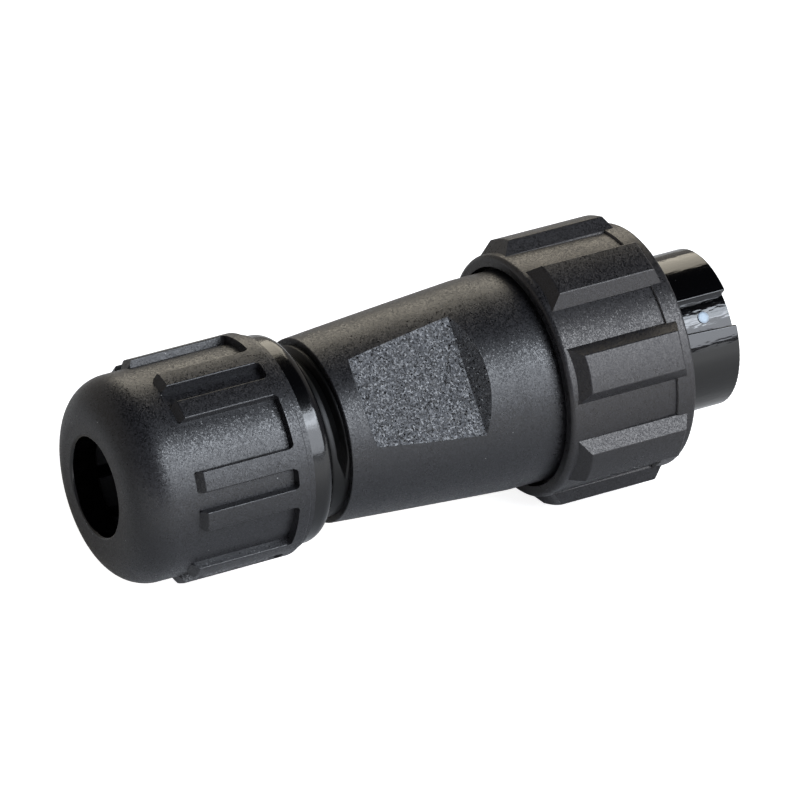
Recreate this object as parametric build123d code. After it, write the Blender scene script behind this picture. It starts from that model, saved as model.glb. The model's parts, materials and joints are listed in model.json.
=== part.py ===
from build123d import *
import os
from math import cos, hypot, radians, sin, tan

# Circular cable connector for three lines and earth, with a screw coupling ring and a cable gland.
# Sizes are in millimetres and angles in degrees. X runs along the connector's axis, from the
# cable end to the mating nose, and the origin is the centre of the nose's front edge.
# An angle round the axis counts from straight up (+Z) towards -Y.

# Lengths along the axis, from the mating end back to the cable end
nose_length = 8.5           # nose that stands out of the coupling ring
ring_length = 15.5          # coupling ring
body_length = 25.25         # body that shows behind the ring, up to its rear shoulder
gland_gap = 2.6             # thread that shows while the gland nut isn't tight
nut_length = 23.3           # gland nut

# Angles at which the turning pieces stop in the drawn position
key_angle = 49.7            # key groove and body flats
ring_angle = 20.5           # first rib of the coupling ring
nut_angle = 20.0            # first pair of ribs on the gland nut

# Clearances
running_gap = 0.06          # bore over a journal that turns
slip_gap = 0.05             # pieces that are pushed together and stay
axial_gap = 0.25            # faces that pass each other while one turns
soft_gap = 0.3              # round rubber and the gland cage
lift = 0.01                 # rubber rings and screws over their seats
over = 1.0                  # how far a cutting shape reaches past what it cuts
rib_sink = 0.7              # how deep a rib's foot is sunk into what carries it

# Contact insert and nose
nose_r = 8.84
nose_edge_round = 0.15
spigot_step = 0.16          # insert inside the shell and the front seal, over the nose
cavity_r = 6.64
cavity_depth = 11.0
contact_web = 9.0           # solid insulator in front of the contact barrels
insert_depth = 6.5          # shell front to the ledge that the insert's lip meets
insert_lip_height = 0.6
insert_lip_length = 1.95
key_floor_depth = 1.14      # key groove below the nose's surface
key_length = 13.0
key_half_angle = 12.6
key_mouth_angle = 13.7      # groove's lower side at the front edge
key_flare = 0.38            # degrees that the lower side closes for each millimetre
key_edge_round = 0.15
dot_r = 0.65
dot_height = 0.12
dot_inset = 3.2             # dot behind the front edge
dot_offset = 2.1            # degrees from the middle of the groove

# Contacts
contact_count = 4
contact_circle_r = 3.7
pin_r = 1.2
pin_recess = 2.0            # line pin tip behind the nose's front edge
earth_lead = 1.0            # how much further forward the earth pin reaches
pin_tip_round = 0.6
barrel_r = 1.9
barrel_tail = 5.5           # barrel behind the lock ring
contact_collar_r = 2.25
contact_collar_length = 1.2
wire_bore_r = 1.3
wire_bore_depth = 6.5
screw_r = 0.8
screw_length = 1.5
screw_slot = 0.35
screw_inset = 2.6           # screw axis from the barrel's rear end
plate_thickness = 2.35
lock_ring_length = 3.0
lock_ring_wall = 2.0
lock_notch = 2.0
lock_notch_depth = 1.0
lock_notch_count = 4

# Body
journal_wall = 1.45
journal_length = 4.9
body_step = 1.36            # body over its journal
body_straight = 5.6         # straight part at the body's front
body_taper = 1.57           # how much the body narrows to its rear shoulder
body_crown = 0.03           # how much the taper bulges in its middle
shoulder_round = 0.15
body_front_round = 0.4
counterbore_room = 0.55     # counterbore behind the lock ring
chamber_wall = 1.45         # between the wiring chamber and the flats
flat_count = 2
flat_sink = 2.61            # flat below the body's front
flat_rear_margin = 3.0      # shoulder to flat
flat_length = 12.85
flat_wall_angle = 30.0      # slope of the flat's end walls
thread_root_r = 9.0
thread_height = 0.6
stub_length = 14.25
stub_wall = 1.4
stub_bore_depth = 11.0      # stub end to the ledge that the seal meets
stub_ledge_length = 2.5
chamber_taper = 2.5

# Coupling ring
mating_space = 2.86         # between the nose and the ring's thread
ring_wall = 1.75            # at the front, behind the rim
ring_draft = 0.23           # how much the ring widens to its rear
ring_front_round = 0.35
ring_rear_round = 0.55
ring_overlap = 1.6          # how far the ring reaches back over the body
ring_recess_gap = 0.49
rim_length = 2.25           # smooth rim at the ring's front
rim_height = 0.3
rib_count = 8
rib_height = 1.32
rib_half_foot = 13.1
rib_half_top = 8.2
rib_rear_foot = 1.1         # ring rear face to the rib's foot
rib_rear_slope = 1.0
rib_front_foot = 1.2        # ring front face to the rib's foot
rib_front_slope = 0.6
rib_round = 0.2
flange_length = 1.8
relief_depth = 0.7
relief_length = 2.4
lead_in = 0.6

# Ring retainer, a split ring in a groove of the body's journal
retainer_height = 0.9
retainer_thickness = 0.9
retainer_gap_angle = 24.0
retainer_groove_depth = 0.6

# Rubber rings
front_seal_section_r = 0.72
insert_seal_section_r = 0.47
insert_seal_inset = 2.6     # seal in front of the insert's ledge

# Gland nut
cable_hole_r = 5.51
cable_hole_round = 0.35
nut_bore_gap = 0.1          # nut bore over the crest of the thread
nut_wall = 1.79
dome_round = 4.3
end_wall = 3.0
collar_height = 0.91
collar_length = 1.35
collar_draft = 0.15
collar_round = 0.15
step_drop = 0.4
step_length = 0.75
lip_height = 0.11
lip_length = 2.85
lip_round = 1.4
nut_rib_pairs = 6
nut_rib_half_angle = 5.35
nut_rib_offset = 10.65      # rib centre from the middle of its pair
nut_rib_length = 11.0       # rib top, up to the collar
nut_rib_slope = 0.65
nut_rib_draft = 0.3
nut_rib_round = 0.15
nut_rib_corner = 0.4        # rounding of its rear corners, seen from above
nut_rib_flare = 0.45        # hollow rounding where it runs into the collar
nut_travel = 2.4            # way forward until the gland is tight
nut_shade = 0.4             # spare depth of the nut's bore
cone_step = 0.75            # bore behind the thread, under the threaded bore
cone_length = 2.6
cone_rise = 1.95

# Clamp cage and cable seal
cage_flange_length = 1.2
cage_gap = 0.6              # cage flange to stub end while the gland is tight
cage_room = 0.49            # cage bore over the cable hole
finger_count = 8
finger_slot = 1.4
cage_key_count = 2
cage_key_width = 1.2
cage_key_height = 0.4
cage_key_room = 0.5         # key to the end of its slot while the gland is tight
seal_grip = 0.31            # seal bore under the cable hole
seal_length = 6.6
seal_groove_count = 3
seal_groove = 0.5
ledge_room = 0.29           # ledge bore over the cable hole

# Radii that follow from the sizes above
key_floor_r = nose_r - key_floor_depth
spigot_r = nose_r + spigot_step
shell_bore_r = spigot_r + slip_gap
insert_lip_r = spigot_r + insert_lip_height
insert_seal_groove_r = spigot_r - 2 * insert_seal_section_r
lock_ring_bore_r = insert_lip_r - lock_ring_wall
journal_r = shell_bore_r + journal_wall
retainer_r = journal_r + retainer_height
retainer_groove_r = journal_r - retainer_groove_depth
body_r = journal_r + body_step
shoulder_r = body_r - body_taper
flat_distance = body_r - flat_sink
chamber_r = flat_distance - chamber_wall
coupling_bore_r = nose_r + mating_space
relief_r = coupling_bore_r + relief_depth
ring_front_r = coupling_bore_r + ring_wall
ring_rear_r = ring_front_r + ring_draft
rib_top_r = ring_rear_r + rib_height
rim_r = ring_front_r + rim_height
crest_r = thread_root_r + thread_height
stub_bore_r = thread_root_r - stub_wall
stub_ledge_r = cable_hole_r + ledge_room
seal_bore_r = cable_hole_r - seal_grip
cage_bore_r = cable_hole_r + cage_room
cage_sleeve_r = stub_bore_r - soft_gap
nut_bore_r = crest_r + nut_bore_gap
nut_r = nut_bore_r + nut_wall
collar_r = nut_r + collar_height
step_r = collar_r - step_drop
lip_r = nut_r + lip_height
cone_mouth_r = nut_bore_r - cone_step
cone_tip_r = cone_mouth_r - cone_rise

# Places along the axis that follow from the lengths
ring_front_x = -nose_length
ring_rear_x = ring_front_x - ring_length
shoulder_x = ring_rear_x - body_length
nut_front_x = shoulder_x - gland_gap
cable_end_x = nut_front_x - nut_length
journal_rear_x = ring_rear_x + ring_overlap
shell_front_x = journal_rear_x + journal_length
flange_rear_x = journal_rear_x + axial_gap
flange_front_x = flange_rear_x + flange_length
nose_rear_x = shell_front_x + 2 * (front_seal_section_r + lift)
insert_ledge_x = shell_front_x - insert_depth
lip_front_x = insert_ledge_x - slip_gap
lip_rear_x = lip_front_x - insert_lip_length
insert_seal_x = insert_ledge_x + insert_seal_inset
plate_rear_x = lip_rear_x - slip_gap - plate_thickness
lock_ring_front_x = plate_rear_x - slip_gap
lock_ring_rear_x = lock_ring_front_x - lock_ring_length
counterbore_end_x = lock_ring_rear_x - counterbore_room
barrel_front_x = -cavity_depth - contact_web
barrel_rear_x = lock_ring_rear_x - barrel_tail
stub_end_x = shoulder_x - stub_length
ledge_x = stub_end_x + stub_bore_depth
seal_front_x = ledge_x - lift
seal_rear_x = seal_front_x - seal_length
cage_flange_x = stub_end_x - nut_travel - cage_gap
cage_front_x = seal_rear_x - nut_travel - soft_gap
cone_rear_x = cable_end_x + end_wall
contact_first_angle = key_angle + 180 / contact_count


def turned(corners, rounds=(), crowned=None):
    """Solid of revolution about the axis from (x, radius) corners; rounds lists (corner, radius).

    crowned is (corner, next corner, height) of a side that bulges a little in its middle.
    """
    sides = []
    for start, end in zip(corners, corners[1:] + corners[:1]):
        if crowned and (start, end) == crowned[:2]:
            middle = ((start[0] + end[0]) / 2, (start[1] + end[1]) / 2 + crowned[2])
            sides.append(Spline(start, middle, end))
        else:
            sides.append(Line(start, end))
    outline = make_face(sides)
    for corner, radius in rounds:
        nearest = outline.vertices().sort_by_distance((*corner, 0))[0]
        outline = fillet(nearest, radius)
    return revolve(outline, Axis.X)


# Alignment of a box that starts at its rear end and at its lowest side
from_end = (Align.MIN, Align.CENTER, Align.MIN)


def tube(rear_x, front_x, inner_r, outer_r):
    """Plain tube, or a disc when inner_r is 0."""
    return turned([(rear_x, inner_r), (front_x, inner_r), (front_x, outer_r), (rear_x, outer_r)])


def rubber_ring(x, centre_r, section_r):
    """Ring of round rubber cord about the axis."""
    return Pos(X=x) * Rot(Y=90) * Torus(centre_r, section_r)


def at_angle(shape, angle):
    """The shape, which was made at the top, turned to an angle round the axis."""
    return Rot(X=angle) * shape


def round_the_axis(shape, count, first=0.0):
    """Evenly spaced copies of a shape that was made at the top."""
    return [at_angle(shape, first + 360 * index / count) for index in range(count)]


def wedge(rear_x, front_x, left, right, reach=2 * rib_top_r):
    """Slice of pie about the axis, between two angles at the top."""
    corners = [(0, 0)] + [(-reach * sin(radians(a)), reach * cos(radians(a))) for a in (left, right)]
    slice_face = Plane.YZ.offset(rear_x) * make_face(Polyline(*corners, close=True))
    return extrude(slice_face, front_x - rear_x)


def x_on_slope(foot, top, level):
    """x at a radius on the straight line through foot and top, both (x, radius)."""
    return foot[0] + (top[0] - foot[0]) * (level - foot[1]) / (top[1] - foot[1])


def is_long_edge(edge, radius, least):
    """True for an edge along the axis at a radius from it, with at least a length."""
    middle = edge.position_at(0.5)
    on_radius = abs(hypot(middle.Y, middle.Z) - radius) < lift
    return on_radius and abs(edge.tangent_at(0.5).X) > 0.9 and edge.length > least


def moulded_rib(rear_foot, rear_top, front_top, front_foot, half_foot, half_top, edge_round,
                corner_round=0.0):
    """Rib along the top of a cylinder, with sloping sides and ends, sunk a little into the cylinder."""
    foot_r, top_r = rear_foot[1], rear_top[1]
    low, high = foot_r - rib_sink, top_r + rib_sink
    foot_y, foot_z = foot_r * sin(radians(half_foot)), foot_r * cos(radians(half_foot))
    top_y, top_z = top_r * sin(radians(half_top)), top_r * cos(radians(half_top))
    outline = Polyline((top_y, top_z), (foot_y, foot_z), (foot_y, low), (-foot_y, low),
                       (-foot_y, foot_z), (-top_y, top_z))
    crown = ThreePointArc((-top_y, top_z), (0, top_r), (top_y, top_z))
    section = Plane.YZ.offset(rear_foot[0] - rib_sink) * make_face([*outline.edges(), crown])
    bar = extrude(section, front_foot[0] - rear_foot[0] + 2 * rib_sink)
    side = make_face(Polyline((x_on_slope(rear_foot, rear_top, low), low),
                              (x_on_slope(rear_foot, rear_top, high), high),
                              (x_on_slope(front_foot, front_top, high), high),
                              (x_on_slope(front_foot, front_top, low), low), close=True))
    bar = bar & extrude(Plane.XZ * side, 2 * top_r, both=True)
    if corner_round:
        half_y = max(foot_y, top_y)
        plan = Rectangle(front_foot[0] + over - rear_foot[0], 2 * half_y, align=(Align.MIN, Align.CENTER))
        plan = fillet(plan.vertices().sort_by(Axis.X)[:2], corner_round)
        bar = bar & extrude(Pos(rear_foot[0], 0, low) * plan, high - low)
    return fillet(bar.faces().sort_by(Axis.Z)[-1].edges(), edge_round)


def make_back_shell():
    """Body: tapered housing with two flats, a journal for the coupling ring and a threaded stub."""
    stub_shape = [(stub_end_x, stub_bore_r), (stub_end_x, thread_root_r), (shoulder_x, thread_root_r),
                  (shoulder_x, shoulder_r)]
    straight_x = journal_rear_x - body_straight
    front_shape = [(straight_x, body_r), (journal_rear_x, body_r), (journal_rear_x, journal_r),
                   (shell_front_x, journal_r), (shell_front_x, shell_bore_r)]
    chamber_end_x = ledge_x + stub_ledge_length
    hollow = [(insert_ledge_x, shell_bore_r), (insert_ledge_x, insert_lip_r + slip_gap),
              (counterbore_end_x, insert_lip_r + slip_gap), (counterbore_end_x, chamber_r),
              (chamber_end_x + chamber_taper, chamber_r), (chamber_end_x, stub_ledge_r),
              (ledge_x, stub_ledge_r), (ledge_x, stub_bore_r)]
    rounds = [((shoulder_x, shoulder_r), shoulder_round), ((journal_rear_x, body_r), body_front_round)]
    taper = ((shoulder_x, shoulder_r), (straight_x, body_r), body_crown)
    shell = turned(stub_shape + front_shape + hollow, rounds, taper)
    groove_rear_x = flange_front_x + axial_gap - slip_gap
    shell -= tube(groove_rear_x, groove_rear_x + retainer_thickness + 2 * slip_gap,
                  retainer_groove_r, journal_r + over)
    flat_rear_x = shoulder_x + flat_rear_margin
    flat_front_x = flat_rear_x + flat_length
    depth = flat_sink + over
    spread = depth * tan(radians(flat_wall_angle))
    pocket = make_face(Polyline((flat_rear_x, flat_distance), (flat_front_x, flat_distance),
                                (flat_front_x + spread, flat_distance + depth),
                                (flat_rear_x - spread, flat_distance + depth), close=True))
    cutter = extrude(Plane.XZ * pocket, body_r, both=True)
    for copy in round_the_axis(cutter, flat_count, key_angle):
        shell -= copy
    slot_half = cage_key_width / 2 + soft_gap
    slot_length = cage_front_x + nut_travel + cage_key_room - stub_end_x
    slot = Box(slot_length, 2 * slot_half, stub_bore_r + cage_key_height, align=from_end)
    for copy in round_the_axis(Pos(X=stub_end_x) * slot, cage_key_count, key_angle):
        shell -= copy
    return shell


def make_contact_insert():
    """Insulator: glossy hollow nose with a key groove, and a solid rear part that holds the contacts."""
    insert = turned([(0, cavity_r), (0, nose_r), (nose_rear_x, nose_r), (nose_rear_x, spigot_r),
                     (lip_front_x, spigot_r), (lip_front_x, insert_lip_r), (lip_rear_x, insert_lip_r),
                     (lip_rear_x, 0), (-cavity_depth, 0), (-cavity_depth, cavity_r)],
                    [((0, nose_r), nose_edge_round)])
    groove_half = insert_seal_section_r + slip_gap
    insert -= tube(insert_seal_x - groove_half, insert_seal_x + groove_half,
                   insert_seal_groove_r, spigot_r + over)
    closed_angle = key_mouth_angle - key_flare * key_length
    reach = 2 * nose_r
    faces = []
    for x, lower_side in ((-key_length, closed_angle), (over, key_mouth_angle + key_flare * over)):
        corners = [(0, 0)] + [(-reach * sin(radians(a)), reach * cos(radians(a)))
                              for a in (-key_half_angle, lower_side)]
        faces.append(Plane.YZ.offset(x) * make_face(Polyline(*corners, close=True)))
    key = loft(faces) & tube(-key_length, over, key_floor_r, reach)
    insert -= at_angle(key, key_angle)
    mouth = [edge for edge in insert.edges() if is_long_edge(edge, nose_r, key_length / 2)]
    insert = fillet(mouth, key_edge_round)
    collar_end_x = lip_rear_x + contact_collar_length + slip_gap
    seat = (tube(barrel_front_x, -cavity_depth + over, 0, pin_r + slip_gap)
            + tube(lip_rear_x - over, barrel_front_x + slip_gap, 0, barrel_r + slip_gap)
            + tube(lip_rear_x - over, collar_end_x, 0, contact_collar_r + slip_gap))
    for copy in round_the_axis(Pos(Z=contact_circle_r) * seat, contact_count, contact_first_angle):
        insert -= copy
    return insert


def make_contact(tip_x):
    """Turned pin with a collar that the plate holds and a screw terminal at its rear, made at the top."""
    collar_front_x = lip_rear_x + contact_collar_length
    pin = turned([(barrel_rear_x, 0), (barrel_rear_x, barrel_r), (lip_rear_x, barrel_r),
                  (lip_rear_x, contact_collar_r), (collar_front_x, contact_collar_r),
                  (collar_front_x, barrel_r), (barrel_front_x, barrel_r), (barrel_front_x, pin_r),
                  (tip_x, pin_r), (tip_x, 0)],
                 [((tip_x, pin_r), pin_tip_round)])
    pin -= tube(barrel_rear_x, barrel_rear_x + wire_bore_depth, 0, wire_bore_r)
    screw_hole = Pos(barrel_rear_x + screw_inset, 0, barrel_r) * Cylinder(screw_r, 2 * barrel_r)
    return Pos(Z=contact_circle_r) * (pin - screw_hole)


def make_terminal_screw():
    """Slotted grub screw of one contact, made at the top."""
    head_z = contact_circle_r + barrel_r
    hanging = (Align.CENTER, Align.CENTER, Align.MAX)
    screw = Cylinder(screw_r - lift, screw_length, align=hanging)
    screw -= Box(2 * screw_r, screw_slot, 2 * screw_slot)
    return Pos(barrel_rear_x + screw_inset, 0, head_z) * screw


def make_contact_plate():
    """Rear plate that keeps the contacts in the insert."""
    plate = tube(plate_rear_x, plate_rear_x + plate_thickness, 0, insert_lip_r)
    hole = Pos(Z=contact_circle_r) * tube(plate_rear_x - over, plate_rear_x + plate_thickness + over, 0,
                                          barrel_r + slip_gap)
    for copy in round_the_axis(hole, contact_count, contact_first_angle):
        plate -= copy
    return plate


def make_lock_ring():
    """Screwed ring behind the contact plate, with four notches for its key."""
    ring = tube(lock_ring_rear_x, lock_ring_front_x, lock_ring_bore_r, insert_lip_r)
    notch = Box(2 * lock_notch_depth, lock_notch, lock_ring_wall + 2 * over)
    place = Pos(lock_ring_rear_x, 0, lock_ring_bore_r + lock_ring_wall / 2)
    for copy in round_the_axis(place * notch, lock_notch_count, key_angle):
        ring -= copy
    return ring


def make_coupling_ring():
    """Ribbed nut that pulls the connector on to its mate; its inner flange runs on the journal."""
    rim_x = ring_front_x - rim_length
    recess_r = body_r + ring_recess_gap
    relief_end_x = flange_front_x + relief_length
    outside = [(ring_rear_x, recess_r), (ring_rear_x, ring_rear_r), (rim_x, ring_front_r),
               (rim_x, rim_r), (ring_front_x, rim_r)]
    inside = [(ring_front_x, coupling_bore_r + lead_in), (ring_front_x - lead_in, coupling_bore_r),
              (relief_end_x, coupling_bore_r), (relief_end_x, relief_r), (flange_front_x, relief_r),
              (flange_front_x, journal_r + running_gap), (flange_rear_x, journal_r + running_gap),
              (flange_rear_x, recess_r)]
    ring = turned(outside + inside, [((ring_rear_x, ring_rear_r), ring_rear_round),
                                     ((ring_front_x, rim_r), ring_front_round)])
    rear_foot_x = ring_rear_x + rib_rear_foot
    front_foot_x = ring_front_x - rib_front_foot
    rib = moulded_rib((rear_foot_x, ring_rear_r), (rear_foot_x + rib_rear_slope, rib_top_r),
                      (front_foot_x - rib_front_slope, rib_top_r), (front_foot_x, ring_rear_r),
                      rib_half_foot, rib_half_top, rib_round)
    return ring + round_the_axis(rib, rib_count, ring_angle)


def make_retaining_ring():
    """Split spring ring that keeps the coupling ring on the body."""
    rear_x = flange_front_x + axial_gap
    ring = tube(rear_x, rear_x + retainer_thickness, retainer_groove_r + slip_gap, retainer_r)
    half = retainer_gap_angle / 2
    gap = wedge(rear_x - over, rear_x + retainer_thickness + over, -half, half)
    return ring - at_angle(gap, key_angle + 180)


def collar_flare(front_x, half_width, flare):
    """Hollow roundings at the sides of a rib where it meets the collar, made at the top."""
    back_x = front_x - flare
    end_x = front_x + collar_length / 2
    lean = flare * (1 - sin(radians(45)))
    outline = [Line((back_x, -half_width), (back_x, half_width)),
               ThreePointArc((back_x, half_width), (front_x - lean, half_width + lean),
                             (front_x, half_width + flare)),
               Line((front_x, half_width + flare), (end_x, half_width + flare)),
               Line((end_x, half_width + flare), (end_x, -half_width - flare)),
               Line((end_x, -half_width - flare), (front_x, -half_width - flare)),
               ThreePointArc((front_x, -half_width - flare), (front_x - lean, -half_width - lean),
                             (back_x, -half_width))]
    block = extrude(Pos(Z=nut_r - rib_sink) * make_face(outline), collar_height + 2 * rib_sink)
    return block & tube(back_x - over, end_x + over, 0, collar_r)


def make_gland_nut():
    """Domed nut with pairs of grip ribs that run into a collar, and a smooth lip in front of it."""
    step_rear_x = nut_front_x - lip_length - step_length
    collar_rear_x = step_rear_x - collar_length
    stub_reach_x = stub_end_x - nut_travel - nut_shade
    outside = [(cable_end_x, cable_hole_r), (cable_end_x, nut_r), (collar_rear_x - collar_draft, nut_r),
               (collar_rear_x, collar_r), (step_rear_x, collar_r), (step_rear_x, step_r),
               (step_rear_x + step_length, step_r), (step_rear_x + step_length, lip_r),
               (nut_front_x, lip_r)]
    inside = [(nut_front_x, nut_bore_r), (stub_reach_x, nut_bore_r), (stub_reach_x, cone_mouth_r),
              (cone_rear_x + cone_length, cone_mouth_r), (cone_rear_x, cone_tip_r),
              (cone_rear_x, cable_hole_r)]
    nut = turned(outside + inside,
                 [((cable_end_x, nut_r), dome_round), ((cable_end_x, cable_hole_r), cable_hole_round),
                  ((step_rear_x, collar_r), collar_round), ((nut_front_x, lip_r), lip_round)])
    rib_top_x = collar_rear_x - nut_rib_length
    rib_end_x = collar_rear_x + collar_length / 2
    rib = moulded_rib((rib_top_x - nut_rib_slope, nut_r), (rib_top_x, collar_r),
                      (rib_end_x, collar_r), (rib_end_x, nut_r),
                      nut_rib_half_angle + nut_rib_draft, nut_rib_half_angle, nut_rib_round,
                      nut_rib_corner)
    rib += collar_flare(collar_rear_x, collar_r * sin(radians(nut_rib_half_angle)), nut_rib_flare)
    pairs = [at_angle(rib, offset) for offset in (-nut_rib_offset, nut_rib_offset)]
    ribs = [at_angle(copy, nut_angle + 360 * index / nut_rib_pairs)
            for index in range(nut_rib_pairs) for copy in pairs]
    return nut + ribs


def make_clamp_cage():
    """Gland cage: fingers that grip the cable, a flange, and a keyed sleeve that pushes the seal."""
    tip_x = cone_rear_x + soft_gap
    cone_mouth_x = cone_rear_x + cone_length
    outer_r = cone_mouth_r - soft_gap
    tip_r = outer_r - (cone_mouth_x - tip_x) * cone_rise / cone_length
    cage = turned([(tip_x, cage_bore_r), (tip_x, tip_r), (cone_mouth_x, outer_r),
                   (cage_flange_x, outer_r), (cage_flange_x, cage_sleeve_r),
                   (cage_front_x, cage_sleeve_r), (cage_front_x, cage_bore_r)])
    slot_length = cage_flange_x - cage_flange_length - tip_x + over
    slot = Box(slot_length, finger_slot, 2 * outer_r, align=from_end)
    for copy in round_the_axis(Pos(X=tip_x - over) * slot, finger_count, key_angle + 180 / finger_count):
        cage -= copy
    key = Box(cage_front_x - cage_flange_x, cage_key_width, cage_key_height + soft_gap,
              align=(Align.MIN, Align.CENTER, Align.MAX))
    key_top = cage_sleeve_r + cage_key_height
    return cage + round_the_axis(Pos(cage_flange_x, 0, key_top) * key, cage_key_count, key_angle)


def make_cable_seal():
    """Ribbed rubber sleeve that the gland squeezes on to the cable."""
    seal = tube(seal_rear_x, seal_front_x, seal_bore_r, cage_sleeve_r)
    for index in range(seal_groove_count):
        x = seal_rear_x + seal_length * (index + 1) / (seal_groove_count + 1)
        seal -= tube(x - seal_groove, x + seal_groove, cage_sleeve_r - seal_groove, stub_bore_r)
    return seal


def make_alignment_dot():
    """Spot of light paint on the floor of the key groove."""
    spot = Pos(-dot_inset, 0, key_floor_r) * Cylinder(dot_r, 2 * over)
    film = tube(-dot_inset - over, -dot_inset + over, key_floor_r, key_floor_r + dot_height)
    return at_angle(film & spot, key_angle + dot_offset)


parts = {
    "back_shell": make_back_shell(),
    "contact_insert": make_contact_insert(),
    "contact_plate": make_contact_plate(),
    "lock_ring": make_lock_ring(),
    "coupling_ring": make_coupling_ring(),
    "retaining_ring": make_retaining_ring(),
    "gland_nut": make_gland_nut(),
    "clamp_cage": make_clamp_cage(),
    "cable_seal": make_cable_seal(),
    "alignment_dot": make_alignment_dot(),
    "front_seal": rubber_ring(shell_front_x + front_seal_section_r + lift,
                              shell_bore_r + front_seal_section_r, front_seal_section_r),
    "insert_seal": rubber_ring(insert_seal_x, insert_seal_groove_r + lift + insert_seal_section_r,
                               insert_seal_section_r),
}
for index in range(contact_count):
    angle = contact_first_angle + 360 * index / contact_count
    is_earth = index == contact_count - 1
    tip_x = -pin_recess + (earth_lead if is_earth else 0.0)
    parts["earth_pin" if is_earth else f"line_pin_{index + 1}"] = at_angle(make_contact(tip_x), angle)
    parts[f"terminal_screw_{index + 1}"] = at_angle(make_terminal_screw(), angle)

os.makedirs("parts", exist_ok=True)
for node, shape in parts.items():
    export_step(shape, f"parts/{node}.step")
    print(node, round(shape.volume, 1))
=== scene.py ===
# %% [markdown]
# A round cable connector, dressed for a product photograph.
#
# The shape comes from a CAD model, which is loaded here as a fixed frame: its pieces stay
# where they are and keep their meshes. This notebook gives them their finishes, cuts the screw
# threads that the CAD model leaves plain, and sets up the light and the camera. Everything is
# in metres, and the connector's axis is X, from the cable end to the mating nose.

# %% Tools and the frame
import json
import math
from types import SimpleNamespace

import bmesh
import bpy
from mathutils import Matrix, Vector


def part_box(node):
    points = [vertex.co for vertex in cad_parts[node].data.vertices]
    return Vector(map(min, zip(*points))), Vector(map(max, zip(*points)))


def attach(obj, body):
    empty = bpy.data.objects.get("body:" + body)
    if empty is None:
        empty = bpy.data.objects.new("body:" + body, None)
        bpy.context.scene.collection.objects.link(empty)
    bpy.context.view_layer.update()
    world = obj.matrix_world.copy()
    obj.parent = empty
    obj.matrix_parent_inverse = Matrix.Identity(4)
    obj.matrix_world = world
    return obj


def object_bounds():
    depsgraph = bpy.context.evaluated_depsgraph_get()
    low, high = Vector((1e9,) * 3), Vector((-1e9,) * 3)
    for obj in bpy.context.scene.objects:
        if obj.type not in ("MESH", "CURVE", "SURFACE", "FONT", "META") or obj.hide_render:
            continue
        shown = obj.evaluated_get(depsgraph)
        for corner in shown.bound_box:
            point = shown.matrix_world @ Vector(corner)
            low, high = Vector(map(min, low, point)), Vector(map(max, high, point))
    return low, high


MM = 0.001
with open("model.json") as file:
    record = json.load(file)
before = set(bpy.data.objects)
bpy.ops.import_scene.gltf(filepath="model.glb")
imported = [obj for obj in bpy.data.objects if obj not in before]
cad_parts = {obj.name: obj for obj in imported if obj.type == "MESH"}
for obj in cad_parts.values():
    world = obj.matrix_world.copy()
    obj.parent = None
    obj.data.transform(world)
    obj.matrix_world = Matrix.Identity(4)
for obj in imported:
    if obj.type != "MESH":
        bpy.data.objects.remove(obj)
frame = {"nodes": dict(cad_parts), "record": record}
cad_box = [list(map(float, corner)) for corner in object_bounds()]
nodes = frame["nodes"]
print("pieces in the frame:", len(nodes), "box:", cad_box)

# %% [markdown]
# Several sizes are needed again below: where the body's rear shoulder is, where its threaded
# stub ends, and where the nut's lip begins. They are read from the frame's boxes, so they
# follow the CAD model. Only what no box can tell is written down: the length of the stub and
# of the ring's rim, and where the flats lie and how they lean.


# %% Sizes read from the frame
def low(node):
    """Lowest corner of a node's box."""
    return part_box(node)[0]


def high(node):
    """Highest corner of a node's box."""
    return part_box(node)[1]


STUB_LENGTH = 14.25 * MM
RIM_LENGTH = 2.25 * MM
FLAT_DISTANCE = 9.25 * MM
FLAT_ANGLE = math.radians(49.7)
FLAT_WALL_ANGLE = math.radians(30)

stub_end_x = low("back_shell").x
shoulder_x = stub_end_x + STUB_LENGTH
nut_front_x = high("gland_nut").x
ring_front_x = high("coupling_ring").x
print("stub from", round(stub_end_x, 5), "to its shoulder at", round(shoulder_x, 5))
print("nut's lip ends at", round(nut_front_x, 5), "and the ring at", round(ring_front_x, 5))

# %% [markdown]
# An effect that several finishes share is a node group with named sockets. Then a change to
# the effect is made once, and each material only chooses its own values. Two helpers make
# that short: one adds a node with its settings, the other makes an empty group.


# %% Helpers for node trees
def add(tree, kind, **settings):
    """Adds a node of a kind and sets its properties."""
    node = tree.nodes.new(kind)
    for name, value in settings.items():
        setattr(node, name, value)
    return node


def join(tree, output, target):
    """Links an output to an input, or sets the input where a plain value is given."""
    if isinstance(output, bpy.types.NodeSocket):
        tree.links.new(output, target)
    else:
        target.default_value = output


def new_group(name, inputs, outputs):
    """Makes a shader node group with its sockets, and returns it with its two end nodes."""
    group = bpy.data.node_groups.new(name, "ShaderNodeTree")
    for title, kind, value in inputs:
        socket = group.interface.new_socket(title, in_out="INPUT", socket_type=kind)
        if value is not None:
            socket.default_value = value
    for title, kind in outputs:
        group.interface.new_socket(title, in_out="OUTPUT", socket_type=kind)
    start = group.nodes.new("NodeGroupInput")
    end = group.nodes.new("NodeGroupOutput")
    return group, start, end


def place_group(tree, group, **values):
    """Puts a group into a tree; each value is a number, a colour or another node's output."""
    node = tree.nodes.new("ShaderNodeGroup")
    node.node_tree = group
    for title, value in values.items():
        join(tree, value, node.inputs[title.replace("_", " ")])
    return node


def calculate(tree, operation, first, second=0.5, third=0.5):
    """Result of a Math node; each operand is a number or another node's output."""
    node = add(tree, "ShaderNodeMath", operation=operation)
    for index, value in enumerate((first, second, third)):
        join(tree, value, node.inputs[index])
    return node.outputs[0]


print("an operand that isn't given is 0.5, and most operations don't read it")

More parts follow.
